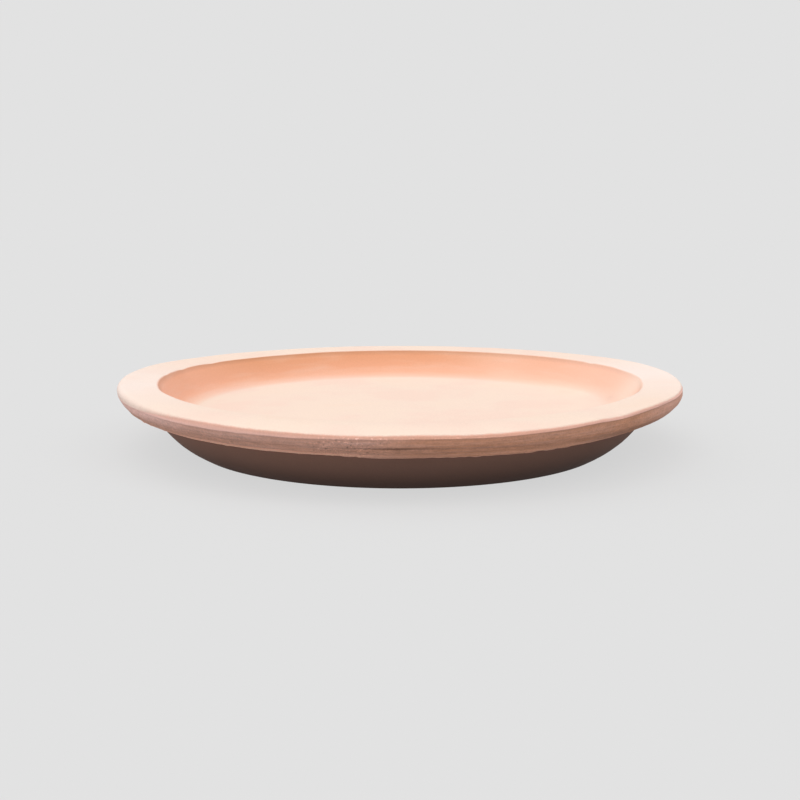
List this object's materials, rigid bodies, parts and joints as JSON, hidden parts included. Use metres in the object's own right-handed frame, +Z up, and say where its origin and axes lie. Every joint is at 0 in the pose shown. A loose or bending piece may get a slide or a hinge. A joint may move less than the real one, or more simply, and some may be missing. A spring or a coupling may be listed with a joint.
{
  "type": "plant saucer",
  "caption": "Round shallow terracotta saucer with a broad flat brim, an undercut outer band and a bowl-shaped lower wall; it holds a plant pot and catches its drained water.",
  "frame": {"origin": "middle of the foot, on the surface that the saucer stands on", "axes": "+Z up along the axis of the turned form; X and Y are alike, because the form is round"},
  "size_m": [0.22, 0.22, 0.026],
  "materials": {
    "terracotta": "matte unglazed fired clay"
  },
  "bodies": {
    "root": {"saucer_dish": "terracotta"}
  },
  "joints": []
}
